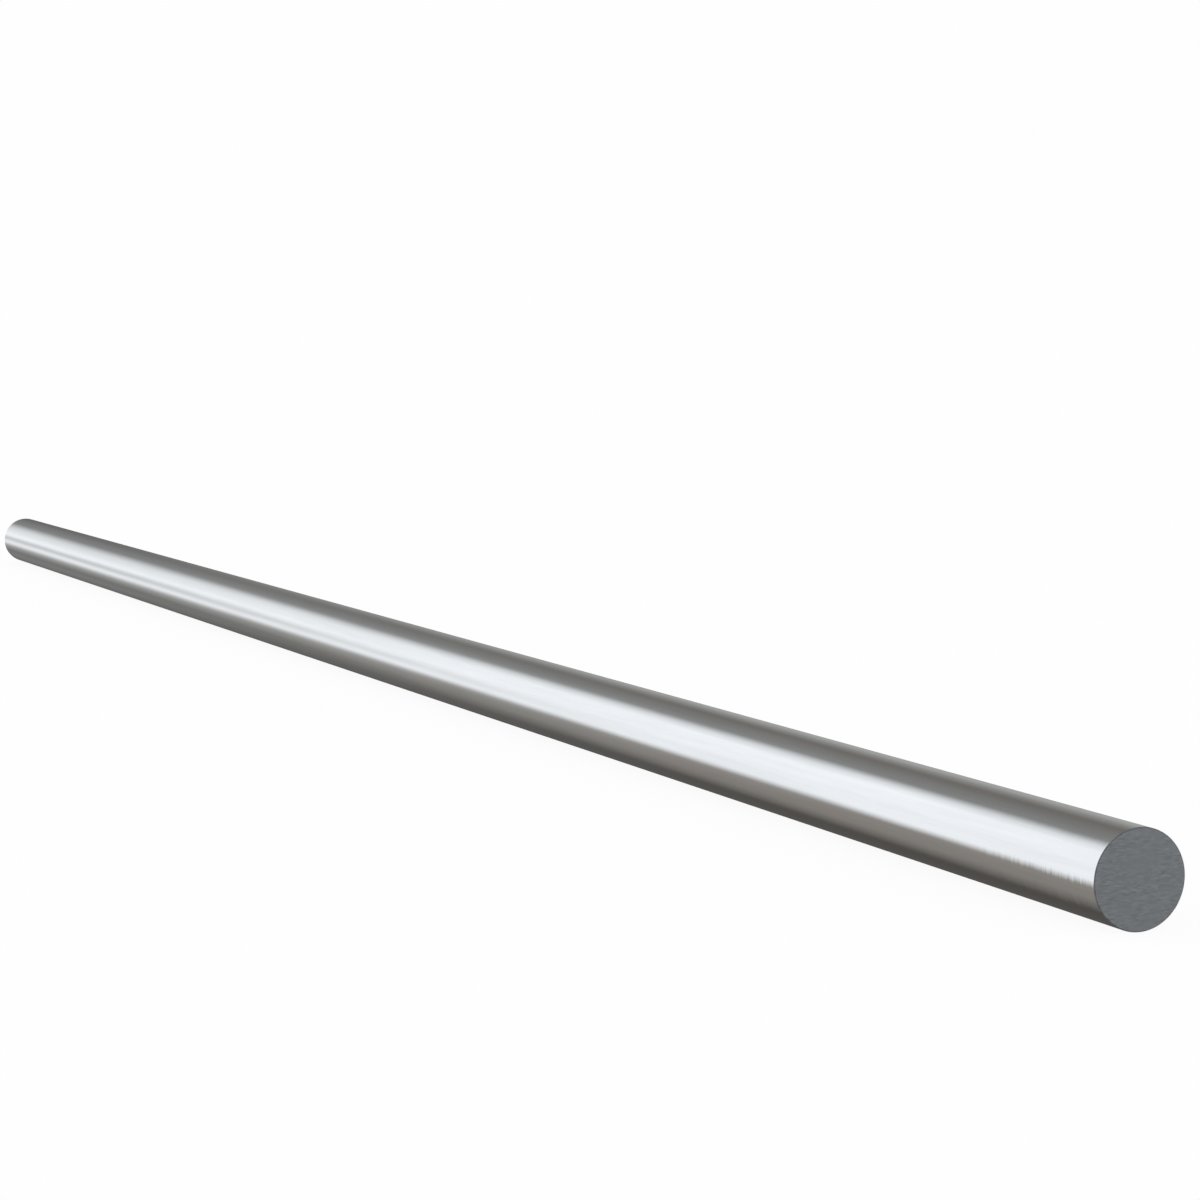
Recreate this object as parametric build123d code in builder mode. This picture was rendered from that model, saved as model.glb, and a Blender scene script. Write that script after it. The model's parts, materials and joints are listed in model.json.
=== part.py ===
"""One cut length of bright round steel bar, lying on a level floor. Sizes are in millimetres.

+X runs along the bar's axis and +Z is up. The origin is the middle of the line on which the bar rests.
"""

import os

from build123d import *

# Driving dimensions
bar_diameter = 25.0  # size of the die that the bar was drawn through
bar_length = 1200.0  # from one sawn face to the other
edge_break = 0.25  # corner filed off round each sawn face, at 45 degrees

# The bar rests on its own round side, so its axis lies one radius above the floor.
axis_height = bar_diameter / 2

sawn_face = Plane(origin=(-bar_length / 2, 0, axis_height), x_dir=(0, 1, 0), z_dir=(1, 0, 0))

with BuildPart() as round_bar:
    with BuildSketch(sawn_face) as section:
        Circle(bar_diameter / 2)
    extrude(amount=bar_length)
    chamfer(round_bar.edges().filter_by(GeomType.CIRCLE), length=edge_break)

round_bar.part.label = "round_bar"

os.makedirs("parts", exist_ok=True)
export_step(round_bar.part, "parts/round_bar.step")
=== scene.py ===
"""A cut length of bright round steel bar on a pale studio floor. Sizes are in metres.

The bar lies along X and rests on the floor at Z = 0. The camera stands on its -Y side, and sees the
sawn end at +X.
"""

import json
import math

import bpy
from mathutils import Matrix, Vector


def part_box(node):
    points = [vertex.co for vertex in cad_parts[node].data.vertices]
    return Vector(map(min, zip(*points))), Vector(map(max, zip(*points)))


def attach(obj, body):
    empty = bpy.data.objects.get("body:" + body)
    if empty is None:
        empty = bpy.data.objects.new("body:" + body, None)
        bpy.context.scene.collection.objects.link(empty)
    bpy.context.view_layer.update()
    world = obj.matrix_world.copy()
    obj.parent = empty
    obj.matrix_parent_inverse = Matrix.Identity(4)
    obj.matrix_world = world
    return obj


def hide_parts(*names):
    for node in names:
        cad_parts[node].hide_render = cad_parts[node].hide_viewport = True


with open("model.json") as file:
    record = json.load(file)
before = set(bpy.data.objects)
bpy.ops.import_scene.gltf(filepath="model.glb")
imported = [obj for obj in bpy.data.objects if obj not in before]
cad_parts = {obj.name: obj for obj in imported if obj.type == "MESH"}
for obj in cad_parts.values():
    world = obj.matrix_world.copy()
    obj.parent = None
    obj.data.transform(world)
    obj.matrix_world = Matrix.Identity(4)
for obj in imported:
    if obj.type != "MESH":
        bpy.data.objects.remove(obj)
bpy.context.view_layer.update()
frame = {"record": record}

# The bar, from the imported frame
shank = next(mount for mount in frame["record"]["mounts"] if mount["name"] == "shank")
bar_radius = shank["dims"]["r_mm"] / 1000
shank_length = shank["dims"]["length_mm"] / 1000
axis_height = shank["pos_m"][2]
box_low, box_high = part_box("round_bar")
bar_length = box_high.x - box_low.x
bar_end = bar_length / 2  # X of the near sawn face
edge_break = (bar_length - shank_length) / 2

# What the X of a face's normal tells: under the first it is on the side, over the second it is sawn
side_limit = 0.1
end_limit = 0.99

# Mesh of the bar
sides = 192
bays = 24  # lengths that the side is cut into
sawn_ring = bar_radius / 2  # width of the ring of faces just inside each sawn face's edge
smooth_up_to = math.radians(30)  # a sharper corner than this stays sharp

# Camera
camera_place = (1.21254, -0.39489, 0.14424)
camera_heading = 67.1935  # degrees that it is turned to the left of +Y
camera_dip = 5.2446  # degrees that it looks below the level
camera_lens = 93.035  # mm
sensor_width = 36  # mm
nearest_seen = 0.01

# Grain of the finishes, as grains to the metre along X, Y and Z
hair_line_grain = (14, 420, 420)
ring_grain = (1900, 60, 60)
score_grain = (1, 520, 2500)
rubbed_patch_grain = (1, 130, 260)

# Values of the noise: what nearly all of them lie between, a narrower part of that, and the middle
noise_range = (0.3, 0.7)
narrow_range = (0.35, 0.65)
noise_middle = 0.5

# Depth of the grain
hair_line_depth = 0.000002
score_depth = 0.00002
rubbed_scores = 0.35  # share of the scores that is left where they are most rubbed out

# How the drawn side's shine is stretched
drawn_stretch = 0.6
drawn_direction = 0.25  # turns, from around the bar to along it

# The fine rings round the drawn side
ring_lean = 0.018  # most that the surface leans to one side in a ring, as a slope
rings_clear_within = 0.03  # of the +X end
rings_faint_beyond = 0.06
rings_faint_above = 0.008  # over the axis
faint_along = 0.1  # share of the lean that is left far from the end
faint_up = 0.2  # share of the lean that is left on top

# Greys and roughness of each finish, where its grain is low and where it is high
drawn_greys = ((0.57, 0.58, 0.59), (0.63, 0.64, 0.65))
drawn_roughness = (0.125, 0.11)
sawn_greys = ((0.203, 0.217, 0.228), (0.259, 0.276, 0.291))
sawn_roughness = (0.54, 0.46)
filed_greys = ((0.29, 0.31, 0.32), (0.37, 0.39, 0.41))
filed_roughness = (0.99, 0.91)

# Floor and background
floor_size = 60
background_white = 0.991
floor_glow = 0.932  # what the camera sees of the floor, apart from the light that falls on it
floor_paper = 0.06  # so much of the light that falls on it, which gives it the bar's shadow
floor_bounce = 0.8  # how pale it is to the light that it sends back to the bar


# ---------------------------------------------------------------- helpers


def deselect_all():
    if bpy.context.object and bpy.context.object.mode != "OBJECT":
        bpy.ops.object.mode_set(mode="OBJECT")
    bpy.ops.object.select_all(action="DESELECT")


def grey(level):
    return (level, level, level, 1)


def new_material(name):
    material = bpy.data.materials.new(name)
    material.use_nodes = True
    nodes = material.node_tree.nodes
    nodes.clear()
    return material, nodes, material.node_tree.links


def add(nodes, kind, **settings):
    node = nodes.new(kind)
    for name, value in settings.items():
        setattr(node, name, value)
    return node


def stretched_noise(nodes, links, grain, detail, roughness=0.6):
    """Noise on Object coordinates, with so many grains to the metre along X, Y and Z."""
    place = add(nodes, "ShaderNodeTexCoord")
    mapping = add(nodes, "ShaderNodeMapping")
    mapping.inputs["Scale"].default_value = grain
    noise = add(nodes, "ShaderNodeTexNoise")
    noise.inputs["Scale"].default_value = 1
    noise.inputs["Detail"].default_value = detail
    noise.inputs["Roughness"].default_value = roughness
    links.new(place.outputs["Object"], mapping.inputs["Vector"])
    links.new(mapping.outputs["Vector"], noise.inputs["Vector"])
    return noise.outputs["Fac"]


def ramp(nodes, links, value, stops):
    """A colour for each value, from (place, colour) stops."""
    node = add(nodes, "ShaderNodeValToRGB")
    elements = node.color_ramp.elements
    while len(elements) > 1:
        elements.remove(elements[-1])
    for number, (place, colour) in enumerate(stops):
        stop = elements[0] if number == 0 else elements.new(place)
        stop.position = place
        stop.color = (*colour, 1)
    links.new(value, node.inputs["Fac"])
    return node.outputs["Color"]


def remap(nodes, links, value, old, new):
    """Takes the old range to the new one, and stays at its ends past them."""
    node = add(nodes, "ShaderNodeMapRange")
    node.inputs["From Min"].default_value = old[0]
    node.inputs["From Max"].default_value = old[1]
    node.inputs["To Min"].default_value = new[0]
    node.inputs["To Max"].default_value = new[1]
    links.new(value, node.inputs["Value"])
    return node.outputs["Result"]


def product(nodes, links, first, second):
    node = add(nodes, "ShaderNodeMath", operation="MULTIPLY")
    links.new(first, node.inputs[0])
    links.new(second, node.inputs[1])
    return node.outputs[0]


def blend(nodes, links, amount, first, second):
    mix = add(nodes, "ShaderNodeMix", data_type="RGBA")
    links.new(amount, mix.inputs["Factor"])
    links.new(first, mix.inputs["A"])
    links.new(second, mix.inputs["B"])
    return mix.outputs["Result"]


def bump(nodes, links, height, depth):
    node = add(nodes, "ShaderNodeBump")
    node.inputs["Distance"].default_value = depth
    links.new(height, node.inputs["Height"])
    return node


def finish_with(nodes, links, shader):
    output = add(nodes, "ShaderNodeOutputMaterial")
    links.new(shader.outputs[0], output.inputs["Surface"])


# ---------------------------------------------------------------- finishes of the bar


def how_clear_the_rings_are(nodes, links):
    """Two shares of the rings' lean: full near the bar's +X end, and full on its lower half."""
    place = add(nodes, "ShaderNodeTexCoord")
    parts = add(nodes, "ShaderNodeSeparateXYZ")
    links.new(place.outputs["Object"], parts.inputs["Vector"])
    fading_in = (bar_end - rings_faint_beyond, bar_end - rings_clear_within)
    near_end = remap(nodes, links, parts.outputs["X"], fading_in, (faint_along, 1))
    fading_out = (axis_height, axis_height + rings_faint_above)
    low_down = remap(nodes, links, parts.outputs["Z"], fading_out, (1, faint_up))
    return near_end, low_down


def turned_in_rings(nodes, links, around):
    """A normal that leans a little around the bar, each fine ring by its own amount."""
    rings = stretched_noise(nodes, links, ring_grain, detail=0)
    near_end, low_down = how_clear_the_rings_are(nodes, links)
    lean = remap(nodes, links, rings, noise_range, (-ring_lean, ring_lean))
    lean = product(nodes, links, lean, near_end)
    lean = product(nodes, links, lean, low_down)
    sideways = add(nodes, "ShaderNodeVectorMath", operation="SCALE")
    links.new(around, sideways.inputs[0])
    links.new(lean, sideways.inputs["Scale"])
    surface = add(nodes, "ShaderNodeNewGeometry")
    leaning = add(nodes, "ShaderNodeVectorMath", operation="ADD")
    links.new(surface.outputs["Normal"], leaning.inputs[0])
    links.new(sideways.outputs[0], leaning.inputs[1])
    evened = add(nodes, "ShaderNodeVectorMath", operation="NORMALIZE")
    links.new(leaning.outputs[0], evened.inputs[0])
    return evened.outputs[0]


def bright_drawn_steel():
    """The drawn side: bright, with hair lines along the bar and fine rings round it."""
    material, nodes, links = new_material("bright_drawn_steel")
    steel = add(nodes, "ShaderNodeBsdfPrincipled")
    steel.inputs["Metallic"].default_value = 1
    steel.inputs["Anisotropic"].default_value = drawn_stretch
    steel.inputs["Anisotropic Rotation"].default_value = drawn_direction
    around = add(nodes, "ShaderNodeTangent", direction_type="RADIAL", axis="X").outputs["Tangent"]
    links.new(around, steel.inputs["Tangent"])
    hair_lines = stretched_noise(nodes, links, hair_line_grain, detail=6, roughness=0.75)
    colour = ramp(nodes, links, hair_lines, zip(noise_range, drawn_greys))
    links.new(colour, steel.inputs["Base Color"])
    shine = remap(nodes, links, hair_lines, noise_range, drawn_roughness)
    links.new(shine, steel.inputs["Roughness"])
    relief = bump(nodes, links, hair_lines, hair_line_depth)
    links.new(turned_in_rings(nodes, links, around), relief.inputs["Normal"])
    links.new(relief.outputs["Normal"], steel.inputs["Normal"])
    finish_with(nodes, links, steel)
    return material


def scored_in_patches(nodes, links):
    """Saw scores across the end, clear in some patches and nearly rubbed out in others."""
    scores = stretched_noise(nodes, links, score_grain, detail=3)
    patches = stretched_noise(nodes, links, rubbed_patch_grain, detail=1)
    clearness = remap(nodes, links, patches, narrow_range, (rubbed_scores, 1))
    mix = add(nodes, "ShaderNodeMix", data_type="FLOAT")
    links.new(clearness, mix.inputs["Factor"])
    mix.inputs["A"].default_value = noise_middle
    links.new(scores, mix.inputs["B"])
    return mix.outputs["Result"]


def dull_grey_steel(name, greys, roughness):
    """Steel scored by the saw."""
    material, nodes, links = new_material(name)
    steel = add(nodes, "ShaderNodeBsdfPrincipled")
    steel.inputs["Metallic"].default_value = 1
    scores = scored_in_patches(nodes, links)
    colour = ramp(nodes, links, scores, zip(narrow_range, greys))
    links.new(colour, steel.inputs["Base Color"])
    links.new(remap(nodes, links, scores, noise_range, roughness), steel.inputs["Roughness"])
    relief = bump(nodes, links, scores, score_depth)
    links.new(relief.outputs["Normal"], steel.inputs["Normal"])
    finish_with(nodes, links, steel)
    return material


def sawn_steel():
    """The sawn ends."""
    return dull_grey_steel("sawn_steel", sawn_greys, sawn_roughness)


def filed_steel():
    """The corners filed off round the sawn ends, a little lighter and rougher than the ends."""
    return dull_grey_steel("filed_steel", filed_greys, filed_roughness)


# ---------------------------------------------------------------- the bar


def is_drawn(face):
    return abs(face.normal.x) < side_limit


def is_sawn(face):
    return abs(face.normal.x) > end_limit


def select_faces(mesh, wanted):
    """In face mode, selects the faces that wanted(face) picks, with the mesh in object mode."""
    bpy.context.tool_settings.mesh_select_mode = (False, False, True)
    for vertex in mesh.vertices:
        vertex.select = False
    for edge in mesh.edges:
        edge.select = False
    for face in mesh.polygons:
        face.select = wanted(face)


def break_the_sawn_corners(mesh):
    """The corner filed off round each sawn face."""
    select_faces(mesh, is_sawn)
    bpy.ops.object.mode_set(mode="EDIT")
    bpy.ops.mesh.region_to_loop()
    bpy.ops.mesh.bevel(offset=edge_break, segments=1, affect="EDGES")
    bpy.ops.object.mode_set(mode="OBJECT")


def cut_into_bays():
    """Cuts across the side, so that no face is much longer than it has to be."""
    bpy.ops.object.mode_set(mode="EDIT")
    for cut in range(1, bays):
        place = -bar_end + cut * bar_length / bays
        bpy.ops.mesh.select_all(action="SELECT")
        bpy.ops.mesh.bisect(plane_co=(place, 0, axis_height), plane_no=(1, 0, 0))
    bpy.ops.object.mode_set(mode="OBJECT")


def close_the_sawn_faces(mesh):
    """A ring inside each sawn face, and a pole at its middle."""
    select_faces(mesh, is_sawn)
    bpy.ops.object.mode_set(mode="EDIT")
    bpy.ops.mesh.inset(thickness=sawn_ring)
    bpy.ops.mesh.poke()
    bpy.ops.object.mode_set(mode="OBJECT")


def put_on_the_finishes(mesh):
    for finish in (bright_drawn_steel, sawn_steel, filed_steel):
        mesh.materials.append(finish())
    for face in mesh.polygons:
        if is_drawn(face):
            face.material_index = 0
        elif is_sawn(face):
            face.material_index = 1
        else:
            face.material_index = 2


def lay_out_for_baking(mesh):
    """A flat pattern of the bar: its side as one strip, and its ends as two discs below that."""
    strip_left, strip_length = 0.01, 0.98
    strip_middle, strip_height = 0.63, 0.72
    near_disc, far_disc, disc_height, disc_radius = 0.14, 0.42, 0.13, 0.12
    pattern = mesh.uv_layers.new(name="OFBake")
    for face in mesh.polygons:
        middle = math.atan2(face.center.z - axis_height, face.center.y)
        for corner in face.loop_indices:
            place = mesh.vertices[mesh.loops[corner].vertex_index].co
            across, above = place.y, place.z - axis_height
            if is_drawn(face):
                turn = (math.atan2(above, across) - middle + math.pi) % math.tau - math.pi + middle
                u = strip_left + strip_length * (place.x + bar_end) / bar_length
                v = strip_middle + strip_height * turn / math.tau
            else:
                disc = near_disc if face.normal.x > 0 else far_disc
                u = disc + disc_radius * across / bar_radius
                v = disc_height + disc_radius * above / bar_radius
            pattern.data[corner].uv = (u, v)


def make_bar():
    deselect_all()
    bpy.ops.mesh.primitive_cylinder_add(
        vertices=sides,
        radius=bar_radius,
        depth=bar_length,
        location=(0, 0, axis_height),
        rotation=(0, math.radians(90), 0),
    )
    bar = bpy.context.object
    bar.name = "drawn_bar"
    bpy.ops.object.transform_apply(location=True, rotation=True, scale=True)

    break_the_sawn_corners(bar.data)
    cut_into_bays()
    close_the_sawn_faces(bar.data)
    bpy.ops.object.shade_smooth_by_angle(angle=smooth_up_to)
    put_on_the_finishes(bar.data)
    lay_out_for_baking(bar.data)

    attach(bar, "root")
    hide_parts("round_bar")


# ---------------------------------------------------------------- the studio

# What the bar mirrors, by the angle round its axis: 0 is level on the camera's side, 90 is overhead
# and 180 is level behind. Each line is the angle in degrees, how bright it is there, and its tint.
# A broad soft light stands on the side of the camera. It is dim overhead and behind the bar, and
# darkest low down behind it.
cool_white = (0.98, 1.0, 1.02)
plain_grey = (0.98, 1.0, 0.97)
warm_grey = (1.08, 1.0, 0.92)
studio_beside = (
    (-180, 0.40, plain_grey),
    (-160, 0.10, warm_grey),
    (-90, 0.10, warm_grey),
    (-60, 0.30, warm_grey),
    (-30, 0.35, warm_grey),
    (-15, 1.35, cool_white),
    (50, 1.45, cool_white),
    (65, 1.10, cool_white),
    (80, 0.35, plain_grey),
    (125, 0.20, warm_grey),
    (160, 0.45, plain_grey),
)
studio_far_ahead = (
    (-180, 0.30, plain_grey),
    (-160, 0.10, plain_grey),
    (-90, 0.25, plain_grey),
    (-65, 0.20, plain_grey),
    (-40, 0.45, plain_grey),
    (-20, 1.20, cool_white),
    (0, 0.70, cool_white),
    (20, 1.25, cool_white),
    (60, 0.90, cool_white),
    (90, 0.30, plain_grey),
    (160, 0.15, plain_grey),
)

# Where each of them is seen in full, by how far the mirrored direction points along X: -1 is straight
# ahead, towards the far end, and 0 is square to the bar. In between, one fades into the other.
beside_at = -0.85
far_ahead_at = -0.97
far_ahead_delay = 3  # power that keeps the second of them back at first

# Past the +X end the studio is the other way round, so that both ends face its bright side.
turning_round = (0.44, 0.56)


def round_the_axis(stops):
    return tuple(
        ((angle + 180) / 360, tuple(level * part for part in tint)) for angle, level, tint in stops
    )


def mirrored_studio(nodes, links):
    direction = add(nodes, "ShaderNodeTexCoord")
    parts = add(nodes, "ShaderNodeSeparateXYZ")
    links.new(direction.outputs["Generated"], parts.inputs["Vector"])
    along = parts.outputs["X"]
    which_side = remap(nodes, links, along, turning_round, (-1, 1))
    towards_bright_side = product(nodes, links, parts.outputs["Y"], which_side)
    angle = add(nodes, "ShaderNodeMath", operation="ARCTAN2")
    links.new(parts.outputs["Z"], angle.inputs[0])
    links.new(towards_bright_side, angle.inputs[1])
    turn = remap(nodes, links, angle.outputs[0], (-math.pi, math.pi), (0, 1))

    beside = ramp(nodes, links, turn, round_the_axis(studio_beside))
    far_ahead = ramp(nodes, links, turn, round_the_axis(studio_far_ahead))
    share = add(nodes, "ShaderNodeMath", operation="POWER")
    share.inputs[1].default_value = far_ahead_delay
    links.new(remap(nodes, links, along, (far_ahead_at, beside_at), (1, 0)), share.inputs[0])
    return blend(nodes, links, share.outputs[0], beside, far_ahead)


def make_world():
    """White to the camera and to all else but the bar's own shine, which sees the studio above."""
    world = bpy.data.worlds.new("studio")
    bpy.context.scene.world = world
    world.use_nodes = True
    world.cycles.sampling_method = "NONE"
    nodes, links = world.node_tree.nodes, world.node_tree.links
    nodes.clear()

    seen = add(nodes, "ShaderNodeBackground")
    seen.inputs["Color"].default_value = grey(background_white)
    reflected = add(nodes, "ShaderNodeBackground")
    links.new(mirrored_studio(nodes, links), reflected.inputs["Color"])
    path = add(nodes, "ShaderNodeLightPath")
    mirror_or_glass = add(nodes, "ShaderNodeMath", operation="MAXIMUM")
    links.new(path.outputs["Is Glossy Ray"], mirror_or_glass.inputs[0])
    links.new(path.outputs["Is Transmission Ray"], mirror_or_glass.inputs[1])
    either = add(nodes, "ShaderNodeMixShader")
    links.new(mirror_or_glass.outputs[0], either.inputs["Fac"])
    links.new(seen.outputs[0], either.inputs[1])
    links.new(reflected.outputs[0], either.inputs[2])
    output = add(nodes, "ShaderNodeOutputWorld")
    links.new(either.outputs[0], output.inputs["Surface"])


def pale_floor():
    """As white as the background to the camera, but for the bar's shadow, and plain to other light."""
    material, nodes, links = new_material("pale_floor")
    paper = add(nodes, "ShaderNodeBsdfDiffuse")
    paper.inputs["Color"].default_value = grey(floor_paper)
    glow = add(nodes, "ShaderNodeEmission")
    glow.inputs["Color"].default_value = grey(floor_glow)
    both = add(nodes, "ShaderNodeAddShader")
    links.new(paper.outputs[0], both.inputs[0])
    links.new(glow.outputs[0], both.inputs[1])
    plain = add(nodes, "ShaderNodeBsdfDiffuse")
    plain.inputs["Color"].default_value = grey(floor_bounce)
    path = add(nodes, "ShaderNodeLightPath")
    mix = add(nodes, "ShaderNodeMixShader")
    links.new(path.outputs["Is Camera Ray"], mix.inputs["Fac"])
    links.new(plain.outputs[0], mix.inputs[1])
    links.new(both.outputs[0], mix.inputs[2])
    finish_with(nodes, links, mix)
    return material


def make_floor():
    deselect_all()
    bpy.ops.mesh.primitive_plane_add(size=floor_size, location=(0, 0, 0))
    floor = bpy.context.object
    floor.name = "floor"
    floor.visible_glossy = False  # the studio above already has the floor's part of what the bar mirrors
    floor.data.materials.append(pale_floor())


def make_camera():
    data = bpy.data.cameras.new("camera")
    data.lens = camera_lens
    data.sensor_width = sensor_width
    data.clip_start = nearest_seen
    camera = bpy.data.objects.new("camera", data)
    camera.location = camera_place
    camera.rotation_euler = (math.radians(90 - camera_dip), 0, math.radians(camera_heading))
    bpy.context.scene.collection.objects.link(camera)
    bpy.context.scene.camera = camera


make_camera()
make_bar()
make_world()
make_floor()
bpy.context.scene.view_settings.view_transform = "Standard"
